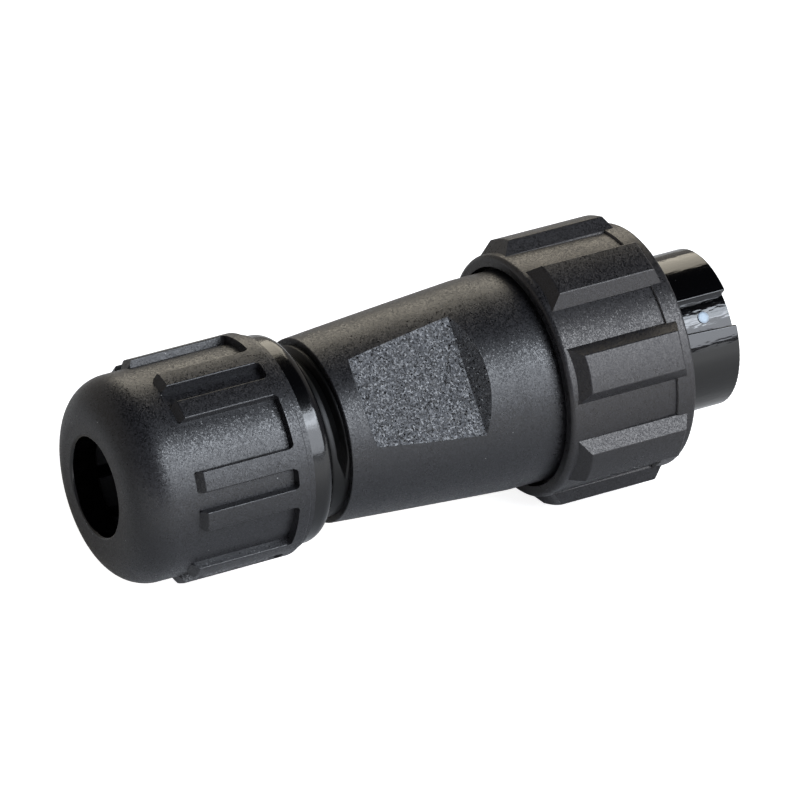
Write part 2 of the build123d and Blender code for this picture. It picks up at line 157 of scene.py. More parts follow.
# %% [markdown]
# Moulded plastic isn't perfectly even: it shrinks a little as it cools, and its colour and
# gloss wander. Noise gives a height for a gentle bump, and a slower noise makes the sheen
# uneven, as flow in the mould does.

# %% Unevenness of moulded plastic
CLOUDS_PER_METRE = 220.0


def make_moulded():
    group, start, end = new_group(
        "moulded",
        [("Place", "NodeSocketVector", None), ("Size", "NodeSocketFloat", 0.5 * MM)],
        [("Height", "NodeSocketFloat"), ("Cloud", "NodeSocketFloat")],
    )
    per_metre = calculate(group, "DIVIDE", 1.0, start.outputs["Size"])
    waves = add(group, "ShaderNodeTexNoise")
    waves.inputs["Detail"].default_value = 2.0
    waves.inputs["Roughness"].default_value = 0.6
    cloud = add(group, "ShaderNodeTexNoise")
    cloud.inputs["Scale"].default_value = CLOUDS_PER_METRE
    cloud.inputs["Detail"].default_value = 3.0
    join(group, start.outputs["Place"], waves.inputs["Vector"])
    join(group, start.outputs["Place"], cloud.inputs["Vector"])
    join(group, per_metre, waves.inputs["Scale"])
    join(group, waves.outputs["Fac"], end.inputs["Height"])
    join(group, cloud.outputs["Fac"], end.inputs["Cloud"])
    return group


moulded = make_moulded()
print("group", moulded.name, "with", len(moulded.nodes), "nodes")

# %% [markdown]
# The moulds of the black parts were sandblasted, and the plastic copies the pits. Each pit
# wall is a tiny facet, about as large as a pixel of a product photograph, that faces its own
# way. A bump can't show that, because it only knows slopes between neighbouring points. So a
# Voronoi texture divides the surface into cells, and the random colour of each cell pushes the
# normal of the whole cell one way. The push is multiplied by its own length, so most facets
# lean a little and a few lean a lot. Those few still catch a lamp where its reflection has
# ended, which breaks the edge up, and where everything around is even, nothing shows.

# %% Facets of a sandblasted surface
LEAN_PER_LENGTH = 4.2


def make_facets():
    group, start, end = new_group(
        "facets",
        [
            ("Place", "NodeSocketVector", None),
            ("Normal", "NodeSocketVector", None),
            ("Size", "NodeSocketFloat", 0.15 * MM),
            ("Tilt", "NodeSocketFloat", 0.1),
        ],
        [("Normal", "NodeSocketVector"), ("Chance", "NodeSocketFloat")],
    )
    per_metre = calculate(group, "DIVIDE", 1.0, start.outputs["Size"])
    cells = add(group, "ShaderNodeTexVoronoi")
    join(group, start.outputs["Place"], cells.inputs["Vector"])
    join(group, per_metre, cells.inputs["Scale"])
    push = add(group, "ShaderNodeVectorMath", operation="SUBTRACT")
    join(group, cells.outputs["Color"], push.inputs[0])
    push.inputs[1].default_value = (0.5, 0.5, 0.5)
    length = add(group, "ShaderNodeVectorMath", operation="LENGTH")
    join(group, push.outputs["Vector"], length.inputs[0])
    lean = calculate(group, "MULTIPLY", length.outputs["Value"], LEAN_PER_LENGTH)
    scaled = add(group, "ShaderNodeVectorMath", operation="SCALE")
    join(group, push.outputs["Vector"], scaled.inputs[0])
    join(group, calculate(group, "MULTIPLY", start.outputs["Tilt"], lean), scaled.inputs["Scale"])
    tilted = add(group, "ShaderNodeVectorMath", operation="ADD")
    join(group, start.outputs["Normal"], tilted.inputs[0])
    join(group, scaled.outputs["Vector"], tilted.inputs[1])
    unit = add(group, "ShaderNodeVectorMath", operation="NORMALIZE")
    join(group, tilted.outputs["Vector"], unit.inputs[0])
    chance = add(group, "ShaderNodeSeparateColor")
    join(group, cells.outputs["Color"], chance.inputs["Color"])
    join(group, unit.outputs["Vector"], end.inputs["Normal"])
    join(group, chance.outputs["Green"], end.inputs["Chance"])
    return group


facets = make_facets()
print("group", facets.name, "with", len(facets.nodes), "nodes")

# %% [markdown]
# Black plastic shows every speck of dust. A Voronoi texture scatters points over the surface;
# each cell has a random colour, and only cells with a high one keep their speck.


# %% Specks of dust
def make_dust():
    group, start, end = new_group(
        "dust",
        [
            ("Place", "NodeSocketVector", None),
            ("Spacing", "NodeSocketFloat", 2.0 * MM),
            ("Radius", "NodeSocketFloat", 0.05),
            ("Share", "NodeSocketFloat", 0.2),
        ],
        [("Mask", "NodeSocketFloat")],
    )
    per_metre = calculate(group, "DIVIDE", 1.0, start.outputs["Spacing"])
    cells = add(group, "ShaderNodeTexVoronoi")
    join(group, start.outputs["Place"], cells.inputs["Vector"])
    join(group, per_metre, cells.inputs["Scale"])
    near = calculate(group, "LESS_THAN", cells.outputs["Distance"], start.outputs["Radius"])
    chance = add(group, "ShaderNodeSeparateColor")
    join(group, cells.outputs["Color"], chance.inputs["Color"])
    chosen = calculate(group, "LESS_THAN", chance.outputs["Red"], start.outputs["Share"])
    join(group, calculate(group, "MULTIPLY", near, chosen), end.inputs["Mask"])
    return group


dust = make_dust()
print("group", dust.name, "with", len(dust.nodes), "nodes")

# %% [markdown]
# One moulding can have more than one finish: the nut's lip is polished and the rest is matte.
# A mask along the axis tells them apart. It works with object coordinates, so it stays on the
# piece when the nut turns and travels.


# %% Mask along the axis
def make_stretch():
    group, start, end = new_group(
        "stretch_along_axis",
        [
            ("Place", "NodeSocketVector", None),
            ("Start", "NodeSocketFloat", 0.0),
            ("End", "NodeSocketFloat", 1.0),
            ("Blur", "NodeSocketFloat", 0.1 * MM),
        ],
        [("Mask", "NodeSocketFloat")],
    )
    axes = add(group, "ShaderNodeSeparateXYZ")
    join(group, start.outputs["Place"], axes.inputs[0])
    edges = []
    for edge, sign in (("Start", 1.0), ("End", -1.0)):
        ramp = add(group, "ShaderNodeMapRange", interpolation_type="SMOOTHSTEP")
        offset = calculate(group, "SUBTRACT", axes.outputs["X"], start.outputs[edge])
        join(group, calculate(group, "MULTIPLY", offset, sign), ramp.inputs["Value"])
        ramp.inputs["From Min"].default_value = 0.0
        join(group, start.outputs["Blur"], ramp.inputs["From Max"])
        edges.append(ramp.outputs["Result"])
    join(group, calculate(group, "MULTIPLY", *edges), end.inputs["Mask"])
    return group


stretch = make_stretch()
print("group", stretch.name, "with", len(stretch.nodes), "nodes")

# %% [markdown]
# The flats are told from the rest of the body by two tests: the surface faces along the flats'
# direction, and it lies at the flats' distance from the axis. The first alone would also catch
# a thin stripe of the round body, where that happens to face the same way. Their end walls are
# told by how far they lean along the axis, and by lying further out than the flats.

# %% Mask of a flat and the one opposite
SAME_DIRECTION = 0.01
SAME_DISTANCE = 0.05 * MM
SAME_LEAN = 0.02


def make_flat_mask():
    group, start, end = new_group(
        "flat_mask",
        [
            ("Place", "NodeSocketVector", None),
            ("Normal", "NodeSocketVector", None),
            ("Direction", "NodeSocketVector", None),
            ("Distance", "NodeSocketFloat", 0.01),
            ("Wall", "NodeSocketFloat", 0.87),
        ],
        [("Mask", "NodeSocketFloat")],
    )
    sizes = []
    for socket in ("Normal", "Place"):
        dot = add(group, "ShaderNodeVectorMath", operation="DOT_PRODUCT")
        join(group, start.outputs[socket], dot.inputs[0])
        join(group, start.outputs["Direction"], dot.inputs[1])
        sizes.append(calculate(group, "ABSOLUTE", dot.outputs["Value"]))
    facing, reach = sizes
    parallel = calculate(group, "COMPARE", facing, 1.0, SAME_DIRECTION)
    at_flat = calculate(group, "COMPARE", reach, start.outputs["Distance"], SAME_DISTANCE)
    flat = calculate(group, "MULTIPLY", parallel, at_flat)
    axes = add(group, "ShaderNodeSeparateXYZ")
    join(group, start.outputs["Normal"], axes.inputs[0])
    along = calculate(group, "ABSOLUTE", axes.outputs["X"])
    leaning = calculate(group, "COMPARE", along, start.outputs["Wall"], SAME_LEAN)
    further_out = calculate(group, "GREATER_THAN", reach, start.outputs["Distance"])
    wall = calculate(group, "MULTIPLY", leaning, further_out)
    join(group, calculate(group, "MAXIMUM", flat, wall), end.inputs["Mask"])
    return group


flat_mask = make_flat_mask()
print("group", flat_mask.name, "with", len(flat_mask.nodes), "nodes")

# %% [markdown]
# Each finish starts the same way: a material with a Principled shader, and the place of each
# point on its own object. The pieces of a finish that later cells change are kept together
# under plain names. Bump turns a height into a normal; its Distance is the real height in
# metres, so the grain has a true depth.


# %% Start of a material
def new_material(name, color, roughness, metallic=0.0):
    """Starts a finish: a material with its tree, its Principled shader and the points' places."""
    material = bpy.data.materials.new(name)
    material.use_nodes = True
    tree = material.node_tree
    shader = tree.nodes["Principled BSDF"]
    shader.inputs["Base Color"].default_value = (*color, 1.0)
    shader.inputs["Roughness"].default_value = roughness
    shader.inputs["Metallic"].default_value = metallic
    texture = add(tree, "ShaderNodeTexCoord")
    return SimpleNamespace(
        material=material, tree=tree, shader=shader, place=texture.outputs["Object"],
        own_normal=texture.outputs["Normal"]
    )


def source(finish, title):
    """Output that now feeds an input of the finish's shader."""
    return finish.shader.inputs[title].links[0].from_socket


def feed(finish, **values):
    """Joins outputs to the shader's inputs, by their titles."""
    for title, value in values.items():
        join(finish.tree, value, finish.shader.inputs[title.replace("_", " ")])


print("helpers of a finish:", new_material.__name__, source.__name__, feed.__name__)

# %% [markdown]
# Four small steps come back in nearly every finish: a bump from a height, a blend of two
# colours or of two normals, and a number between two others. A Mix node has its inputs for
# each kind of data at fixed places: 4 and 5 for vectors, 6 and 7 for colours.


# %% Bumps and blends
def bump_from(tree, height, depth, normal=None):
    """Normal from a height, with the height's full range in metres, on top of another normal."""
    bump = add(tree, "ShaderNodeBump")
    bump.inputs["Distance"].default_value = depth
    join(tree, height, bump.inputs["Height"])
    if normal:
        join(tree, normal, bump.inputs["Normal"])
    return bump.outputs["Normal"]


def blend_colors(tree, factor, first, second):
    """Colour between two others, each a colour or another node's output."""
    mix = add(tree, "ShaderNodeMix", data_type="RGBA")
    for index, value in ((0, factor), (6, first), (7, second)):
        join(tree, value, mix.inputs[index])
    return mix.outputs[2]


def blend_normals(tree, factor, first, second):
    """Normal between two others."""
    mix = add(tree, "ShaderNodeMix", data_type="VECTOR")
    for index, value in ((0, factor), (4, first), (5, second)):
        join(tree, value, mix.inputs[index])
    return mix.outputs[1]


def between(tree, factor, first, second):
    """Number between two others, by a factor from 0 to 1."""
    ramp = add(tree, "ShaderNodeMapRange")
    for title, value in (("Value", factor), ("To Min", first), ("To Max", second)):
        join(tree, value, ramp.inputs[title])
    return ramp.outputs["Result"]


def stretched(tree, place, factors):
    """Places with each coordinate multiplied by its factor."""
    scale = add(tree, "ShaderNodeVectorMath", operation="MULTIPLY")
    join(tree, place, scale.inputs[0])
    scale.inputs[1].default_value = factors
    return scale.outputs["Vector"]


def axis_distance(tree, place):
    """Distance of each point from the connector's axis."""
    length = add(tree, "ShaderNodeVectorMath", operation="LENGTH")
    join(tree, stretched(tree, place, (0.0, 1.0, 1.0)), length.inputs[0])
    return length.outputs["Value"]


print("blends for colours, normals and numbers are ready")

# %% [markdown]
# The body, the coupling ring and the nut are black nylon from sandblasted moulds. Most of what
# one sees of it is reflection: the base colour is nearly black, and the facets break a sheen
# that would otherwise be smooth. Each facet also has its own roughness and its own black, which
# keeps the grain visible in the middle of a highlight. Dust lifts the colour to a pale grey at
# single specks.

# %% Sandblasted nylon
NYLON_BLACK = (0.0032, 0.0032, 0.0037, 1.0)
NYLON_PALE = (0.0192, 0.0192, 0.0222, 1.0)
DUST_COLOR = (0.26, 0.26, 0.25, 1.0)
FACET_SIZE = 0.12 * MM
FACET_SHEEN = 0.3
CLOUD_SHEEN = 0.06


def nylon(name, roughness, facet_tilt):
    """Black nylon with facets and dust; its sheen varies round the given roughness."""
    finish = new_material(name, NYLON_BLACK[:3], roughness)
    tree, place = finish.tree, finish.place
    uneven = place_group(tree, moulded, Place=place, Size=0.6 * MM)
    shading_normal = add(tree, "ShaderNodeNewGeometry").outputs["Normal"]
    grain = place_group(
        tree, facets, Place=place, Normal=shading_normal, Size=FACET_SIZE, Tilt=facet_tilt
    )
    specks = place_group(tree, dust, Place=place, Spacing=1.6 * MM, Radius=0.04, Share=0.2)
    mottled = blend_colors(tree, grain.outputs["Chance"], NYLON_BLACK, NYLON_PALE)
    dusty = blend_colors(tree, specks.outputs["Mask"], mottled, DUST_COLOR)
    lowest = roughness - FACET_SHEEN / 2
    cloudy = between(
        tree, uneven.outputs["Cloud"], lowest - CLOUD_SHEEN, lowest + CLOUD_SHEEN
    )
    sheen = calculate(tree, "MULTIPLY_ADD", grain.outputs["Chance"], FACET_SHEEN, cloudy)
    normal = bump_from(tree, uneven.outputs["Height"], 0.012 * MM, grain.outputs["Normal"])
    feed(finish, Base_Color=dusty, Roughness=sheen, Normal=normal)
    finish.grain, finish.shading_normal = grain, shading_normal
    return finish


print("facets are", round(FACET_SIZE / MM, 2), "mm wide")

# %% [markdown]
# The ring has the plain version. It is a little less blue than the other pieces, and the step
# behind its rim
# is painted paler: painted light that lifts the dark line of shade along it. The step is found by
# its place on the axis and by facing back.

# %% Coupling ring
# Pale colour for the rear-facing step: painted light that lifts the shade in it.
STEP_PAINTED_LIGHT = (0.18, 0.175, 0.17, 1.0)
STEP_REACH = 0.03 * MM


def make_ring_nylon():
    finish = nylon("ring_nylon", roughness=0.42, facet_tilt=0.07)
    finish.shader.inputs["Specular Tint"].default_value = (1.0, 0.96, 0.93, 1.0)
    tree = finish.tree
    step_x = ring_front_x - RIM_LENGTH
    at_step = place_group(
        tree, stretch, Place=finish.place, Start=step_x - STEP_REACH, End=step_x + STEP_REACH,
        Blur=0.01 * MM
    ).outputs["Mask"]
    facing = add(tree, "ShaderNodeSeparateXYZ")
    join(tree, finish.own_normal, facing.inputs[0])
    rearward = calculate(tree, "LESS_THAN", facing.outputs["X"], -0.5)
    step = calculate(tree, "MULTIPLY", at_step, rearward)
    # The step's face is painted pale, a painted light over its shade.
    feed(finish, Base_Color=blend_colors(tree, step, source(finish, "Base Color"), STEP_PAINTED_LIGHT))
    return finish.material


ring_nylon = make_ring_nylon()
print("material", ring_nylon.name)

# %% [markdown]
# The body has the same nylon, but its two sunk flats come from a spark-eroded part of the
# mould, which is coarser: each spark left a crater. There the facets lean more, and each is
# painted somewhere between black and a pale grey.
# The pale ones are painted glints that stand in for the sparkle of the crater walls. One mask
# switches between the two.

# %% Body with its coarse flats
CRATER_BLACK = (0.003, 0.003, 0.003, 1.0)
# Pale grey of the crater facets: painted glints, in place of the sparkle of the real grain.
CRATER_PAINTED_GLINT = (0.18, 0.185, 0.195, 1.0)
CRATER_ROUGHNESS = 0.34


def make_body_nylon():
    finish = nylon("body_nylon", roughness=0.42, facet_tilt=0.085)
    tree, place = finish.tree, finish.place
    on_flat = place_group(
        tree, flat_mask, Place=place, Normal=finish.own_normal,
        Direction=(0.0, -math.sin(FLAT_ANGLE), math.cos(FLAT_ANGLE)),
        Distance=FLAT_DISTANCE, Wall=math.cos(FLAT_WALL_ANGLE)
    ).outputs["Mask"]
    craters = place_group(
        tree, facets, Place=place, Normal=finish.shading_normal, Size=0.16 * MM, Tilt=0.65
    )
    # Facets are painted from black to pale grey; the pale ones are painted glints.
    speckled = blend_colors(tree, craters.outputs["Chance"], CRATER_BLACK, CRATER_PAINTED_GLINT)
    feed(
        finish,
        Base_Color=blend_colors(tree, on_flat, source(finish, "Base Color"), speckled),
        Roughness=between(tree, on_flat, source(finish, "Roughness"), CRATER_ROUGHNESS),
        Normal=blend_normals(tree, on_flat, source(finish, "Normal"), craters.outputs["Normal"]),
    )
    return finish.material


body_nylon = make_body_nylon()
print("material", body_nylon.name)

# %% [markdown]
# The nut's front lip is polished, so it mirrors the lamps, and so is the hole for the cable.
# Two masks, one along the axis and one by the distance from it, take the facets' lean, the
# roughness and the pale mottling away there.

# %% Nut with its polished lip and hole
POLISHED_BLACK = (0.0015, 0.0015, 0.0018, 1.0)
POLISHED_ROUGHNESS = 0.17
POLISHED_TILT = 0.008
NUT_TILT = 0.085
LIP_LENGTH = 2.85 * MM
HOLE_R = 5.8 * MM


def make_nut_nylon():
    finish = nylon("nut_nylon", roughness=0.41, facet_tilt=NUT_TILT)
    tree, place = finish.tree, finish.place
    lip = place_group(
        tree, stretch, Place=place, Start=nut_front_x - LIP_LENGTH, End=nut_front_x + 1 * MM,
        Blur=0.05 * MM
    ).outputs["Mask"]
    hole = calculate(tree, "LESS_THAN", axis_distance(tree, place), HOLE_R)
    polished = calculate(tree, "MAXIMUM", lip, hole)
    feed(
        finish,
        Base_Color=blend_colors(tree, polished, source(finish, "Base Color"), POLISHED_BLACK),
        Roughness=between(tree, polished, source(finish, "Roughness"), POLISHED_ROUGHNESS),
    )
    tilt = between(tree, polished, NUT_TILT, POLISHED_TILT)
    join(tree, tilt, finish.grain.inputs["Tilt"])
    return finish.material


nut_nylon = make_nut_nylon()
print("material", nut_nylon.name)

# %% [markdown]
# Smooth black plastic is simpler: a faint waviness, a sheen that varies by the clouds, and
# dust. The threads have it, because nothing blasts the inside of a thread's mould: it is
# unscrewed from the part, which keeps it smooth. Their black is deeper for that. Only the
# crest of the gland's thread, which the nut rubs, is worn duller; it is told by its distance
# from the axis.

# %% Smooth threads
GLAND_CREST = 9.6 * MM
CREST_ROUGHNESS = 0.46


def smooth_plastic(name, color, roughness, wave_size, wave_depth, dust_share):
    """Smooth black plastic with a faint waviness."""
    finish = new_material(name, color, roughness)
    tree, place = finish.tree, finish.place
    uneven = place_group(tree, moulded, Place=place, Size=wave_size)
    specks = place_group(tree, dust, Place=place, Spacing=1.3 * MM, Radius=0.04, Share=dust_share)
    feed(
        finish,
        Base_Color=blend_colors(tree, specks.outputs["Mask"], (*color, 1.0), DUST_COLOR),
        Roughness=between(tree, uneven.outputs["Cloud"], roughness * 0.7, roughness * 1.4),
        Normal=bump_from(tree, uneven.outputs["Height"], wave_depth),
    )
    finish.uneven = uneven
    return finish


def make_thread_nylon():
    finish = smooth_plastic(
        "smooth_nylon", (0.001, 0.001, 0.001), roughness=0.3, wave_size=0.7 * MM,
        wave_depth=0.008 * MM, dust_share=0.1
    )
    finish.shader.inputs["Specular IOR Level"].default_value = 0.3
    tree = finish.tree
    reach = axis_distance(tree, finish.place)
    on_crest = calculate(tree, "COMPARE", reach, GLAND_CREST, 0.012 * MM)
    feed(
        finish,
        Roughness=between(tree, on_crest, source(finish, "Roughness"), CREST_ROUGHNESS),
    )
    return finish.material


smooth_nylon = make_thread_nylon()
print("material", smooth_nylon.name)

# %% [markdown]
# The insert that carries the contacts is a glossy black plastic from a polished mould. The
# polishing went along the axis, so its reflections wander in long streaks that way. On the
# floor of the key groove the mould is only milled, so there the waves are closer and deeper.
# The floor is told by its distance from the axis.

# %% Polished insert
KEY_FLOOR_R = 7.7 * MM
POLISHING_STRETCH = (0.3, 1.0, 1.0)


def make_insert_plastic():
    finish = smooth_plastic(
        "insert_plastic", POLISHED_BLACK[:3], roughness=0.1, wave_size=0.7 * MM,
        wave_depth=0.022 * MM, dust_share=0.25
    )
    tree = finish.tree
    drawn = stretched(tree, finish.place, POLISHING_STRETCH)
    join(tree, drawn, finish.uneven.inputs["Place"])
    reach = axis_distance(tree, finish.place)
    on_floor = calculate(tree, "COMPARE", reach, KEY_FLOOR_R, 0.05 * MM)
    milled = place_group(tree, moulded, Place=drawn, Size=0.8 * MM)
    milled_normal = bump_from(tree, milled.outputs["Height"], 0.06 * MM)
    feed(
        finish,
        Normal=blend_normals(tree, on_floor, source(finish, "Normal"), milled_normal),
    )
    return finish.material


insert_plastic = make_insert_plastic()
print("material", insert_plastic.name)

# %% [markdown]
# Inside are plainer finishes: a dull nylon for cage, plate and lock ring, and rubber for the
# seals, which is rougher and has a finer grain.


# %% Plain nylon and rubber
def make_dull(name, color, roughness, grain_size):
    finish = new_material(name, color, roughness)
    tree = finish.tree
    grain = place_group(tree, moulded, Place=finish.place, Size=grain_size)
    cloud = grain.outputs["Cloud"]
    lighter = tuple(channel * 1.4 for channel in color)
    feed(
        finish,
        Base_Color=blend_colors(tree, cloud, (*color, 1), (*lighter, 1)),
        Roughness=between(tree, cloud, roughness - 0.06, roughness + 0.06),
        Normal=bump_from(tree, grain.outputs["Height"], 0.01 * MM),
    )
    return finish.material


inner_nylon = make_dull("inner_nylon", (0.03, 0.03, 0.031), roughness=0.45, grain_size=0.3 * MM)
rubber = make_dull("rubber", (0.022, 0.022, 0.022), roughness=0.7, grain_size=0.12 * MM)
print("materials", inner_nylon.name, rubber.name)

# %% [markdown]
# The contacts are plated brass, the screws and the split ring are steel. Metals get their
# colour from their reflection, so they are fully metallic. A Wave texture along the axis adds
# the rings that turning leaves.


# %% Metals
def make_metal(name, color, roughness, mark_spacing):
    finish = new_material(name, color, roughness, metallic=1.0)
    tree = finish.tree
    marks = add(tree, "ShaderNodeTexWave", wave_type="BANDS", bands_direction="X")
    marks.inputs["Scale"].default_value = 1.0 / mark_spacing
    marks.inputs["Distortion"].default_value = 1.0
    marks.inputs["Detail"].default_value = 2.0
    join(tree, finish.place, marks.inputs["Vector"])
    cloud = place_group(tree, moulded, Place=finish.place, Size=0.5 * MM).outputs["Cloud"]
    darker = tuple(channel * 0.8 for channel in color)
    feed(
        finish,
        Base_Color=blend_colors(tree, cloud, (*color, 1), (*darker, 1)),
        Roughness=between(tree, cloud, roughness * 0.7, roughness * 1.3),
        Normal=bump_from(tree, marks.outputs["Fac"], 0.002 * MM),
    )
    return finish.material


contact_metal = make_metal("contact_metal", (0.78, 0.72, 0.58), 0.24, mark_spacing=2.0 * MM)
screw_steel = make_metal("screw_steel", (0.62, 0.62, 0.6), 0.3, mark_spacing=1.0 * MM)
spring_steel = make_metal("spring_steel", (0.36, 0.36, 0.37), 0.34, mark_spacing=1.0 * MM)
print("materials", contact_metal.name, screw_steel.name, spring_steel.name)

# %% [markdown]
# The dot is a drop of pale paint. It is thick in the middle and thin at its rim, where the
# black shows through, so its colour follows the distance from its centre.

# %% Paint of the alignment dot
PAINT_DEEP = (0.19, 0.27, 0.35, 1.0)
PAINT_PALE = (0.34, 0.44, 0.53, 1.0)
PAINT_THIN = (0.07, 0.1, 0.14, 1.0)


def make_dot_paint():
    finish = new_material("dot_paint", PAINT_PALE[:3], roughness=0.3)
    tree = finish.tree
    height = place_group(tree, moulded, Place=finish.place, Size=0.3 * MM).outputs["Height"]
    offset = add(tree, "ShaderNodeVectorMath", operation="DISTANCE")
    join(tree, finish.place, offset.inputs[0])
    offset.inputs[1].default_value = (low("alignment_dot") + high("alignment_dot")) / 2
    rim = add(tree, "ShaderNodeMapRange", interpolation_type="SMOOTHSTEP")
    join(tree, offset.outputs["Value"], rim.inputs["Value"])
    rim.inputs["From Min"].default_value = 0.35 * MM
    rim.inputs["From Max"].default_value = 0.7 * MM
    paint = blend_colors(tree, height, PAINT_DEEP, PAINT_PALE)
    feed(
        finish,
        Base_Color=blend_colors(tree, rim.outputs["Result"], paint, PAINT_THIN),
        Normal=bump_from(tree, height, 0.02 * MM),
    )
    return finish.material


dot_paint = make_dot_paint()
print("material", dot_paint.name)

# %% [markdown]
# Each node of the frame now gets its finish. A table of slot to material keeps that in one
# place, and the record says which node has which slot.

# %% Finishes on the frame's nodes
FINISHES = {
    "shell_plastic": body_nylon,
    "ring_plastic": ring_nylon,
    "nut_plastic": nut_nylon,
    "insert_plastic": insert_plastic,
    "inner_plastic": inner_nylon,
    "seal_rubber": rubber,
    "contact_metal": contact_metal,
    "screw_steel": screw_steel,
    "spring_steel": spring_steel,
    "dot_paint": dot_paint,
}
for part in frame["record"]["subparts"]:
    mesh = nodes[part["node"]].data
    mesh.materials.clear()
    mesh.materials.append(FINISHES[part["material_slot"]])

# %% [markdown]
# A screw thread is a profile that winds round a cylinder and climbs one pitch a turn. Seen
# along one line parallel to the axis, it is just a row of teeth, and at the next angle the
# same row has moved on a little. So the mesh is a grid: one row of points for each angle, with
# all teeth of the thread in it, closed by two points on the hidden side. Points that moved
# past the thread's ends stay on the end planes.
#
# Real grooves don't stop dead: they run out over a few degrees, where the cutter that made the
# mould was drawn back. The runout lifts the whole groove as it comes near the body's shoulder,
# and nothing rises above the crest, so the groove gets narrower while it gets shallower.


# %% One row of a thread's points
def runout_share(x, place, length):
    """0 before a place on the axis and 1 after it, with a smooth rise between."""
    share = min(max((x - place) / length, 0.0), 1.0)
    return share * share * (3 - 2 * share)


def tooth_radius(profile, share):
    """Radius of the profile at a share of the pitch."""
    for (share_a, radius_a), (share_b, radius_b) in zip(profile, profile[1:]):
        if share <= share_b:
            return radius_a + (radius_b - radius_a) * (share - share_a) / (share_b - share_a)
    return profile[-1][1]


def thread_row(turn_share, span, profile, pitch, centre, hidden_r, runout):
    """Points (x, radius) of the thread along one line, from end to end and back inside."""
    rear, front = span
    crest = profile[0][1]
    depth = crest - min(radius for share, radius in profile)
    first = math.floor((rear - centre) / pitch) - 2
    last = math.ceil((front - centre) / pitch) + 1
    row = [(rear, hidden_r)]
    for turn in range(first, last + 1):
        for share, radius in profile:
            x = centre + (turn + turn_share + share - 0.5) * pitch
            middle = centre + (turn + turn_share) * pitch
            if not rear < x < front:
                x = min(max(x, rear), front)
                teeth = (x - centre) / pitch - turn_share + 0.5
                middle = centre + (math.floor(teeth) + turn_share) * pitch
                radius = tooth_radius(profile, teeth - math.floor(teeth))
            if runout:
                radius = min(radius + depth * runout_share(middle, *runout), crest)
            row.append((x, radius))
    return row + [(front, hidden_r)]


trial = thread_row(0.0, (0.0, 4.0), [(0.0, 2.0), (0.5, 1.0), (1.0, 2.0)], 2.0, 0.0, 0.5, None)
print("a row of two teeth has", len(trial), "points, also those that wait on the end planes")

# %% [markdown]
# The rows are joined by four-sided faces. After a full turn the last row lies on the first,
# one tooth further on, and the two are welded; so are the points that wait on the end planes.
# Faces are shaded smooth, and edges sharper than the given angle stay sharp.

# %% Thread mesh
STEPS_PER_TURN = 180
WELD = 0.003 * MM
SHARP_ANGLE = math.radians(40)


def thread(name, span, profile, pitch, centre, hidden_r, runout=None):
    """Closed helical thread along X; profile lists (share of a pitch from 0 to 1, radius)."""
    mesh = bmesh.new()
    rows = []
    for step in range(STEPS_PER_TURN + 1):
        angle = 2 * math.pi * step / STEPS_PER_TURN
        places = thread_row(step / STEPS_PER_TURN, span, profile, pitch, centre, hidden_r, runout)
        sine, cosine = math.sin(angle), math.cos(angle)
        rows.append([mesh.verts.new((x, -r * sine, r * cosine)) for x, r in places])
    for row, following in zip(rows, rows[1:]):
        for index in range(len(row)):
            after = (index + 1) % len(row)
            mesh.faces.new((row[index], row[after], following[after], following[index]))
    bmesh.ops.remove_doubles(mesh, verts=mesh.verts, dist=WELD)
    bmesh.ops.dissolve_degenerate(mesh, edges=mesh.edges, dist=WELD)
    bmesh.ops.recalc_face_normals(mesh, faces=mesh.faces)
    open_edges = sum(1 for edge in mesh.edges if len(edge.link_faces) != 2)
    data = bpy.data.meshes.new(name)
    mesh.to_mesh(data)
    mesh.free()
    data.shade_smooth()
    data.set_sharp_from_angle(angle=SHARP_ANGLE)
    piece = bpy.data.objects.new(name, data)
    bpy.context.scene.collection.objects.link(piece)
    print(name, "has", len(data.polygons), "faces and", open_edges, "open edges")
    return piece


print("threads have", STEPS_PER_TURN, "steps a turn")

# %% [markdown]
# The thread on the body's stub is a groove with a flat crest between its turns. The side that
# takes the pull of the nut is steeper than the other one. The groove ends near the shoulder,
# where a short plain collar stays at the crest's radius. Both flanks mirror the nut and the
# shoulder rather than the lamps, so the groove looks black and only the crest shines.

# %% Thread of the stub
HIDDEN_DEPTH = 0.2 * MM
STUB_CHAMFER = 0.3 * MM
GLAND_PITCH = 2.0 * MM
GLAND_ROOT = 9.01 * MM
GROOVE_CENTRE = shoulder_x - 1.2 * MM
GROOVE_RUNOUT = (shoulder_x - 0.76 * MM, 0.12 * MM)
DEEPEST = 0.6
EDGE_DEPTH = 0.04


def groove_profile(crest_share, rounding, samples):
    """Groove between crests, sampled finely so that its runout has clean edges."""
    profile = [(0.0, GLAND_CREST), (crest_share - rounding, GLAND_CREST)]
    for start, end in ((crest_share, DEEPEST), (1 - crest_share, DEEPEST)):
        side = []
        for index in range(samples + 1):
            share = start + (end - start) * index / samples
            depth = (GLAND_CREST - GLAND_ROOT) * (EDGE_DEPTH + (1 - EDGE_DEPTH) * index / samples)
            side.append((share, GLAND_CREST - depth))
        profile += side if start < end else side[-2::-1]
    return profile + [(1 - crest_share + rounding, GLAND_CREST), (1.0, GLAND_CREST)]


groove = groove_profile(crest_share=0.165, rounding=0.02, samples=5)
stub_thread = thread(
    "stub_thread", (stub_end_x + STUB_CHAMFER, shoulder_x), groove, GLAND_PITCH, GROOVE_CENTRE,
    GLAND_ROOT - HIDDEN_DEPTH, GROOVE_RUNOUT
)
stub_thread.data.materials.append(smooth_nylon)
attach(stub_thread, "root")

# %% [markdown]
# The nut's thread is the counterpart: a ridge that follows the deepest line of the groove,
# with room on both sides, so that it stays in the groove while the nut turns and travels.

# %% Thread of the nut
NUT_ROOT = 9.69 * MM
NUT_CREST = 9.25 * MM
NUT_THREAD_INSET = 1.6 * MM
NUT_THREAD_LENGTH = 11.5 * MM

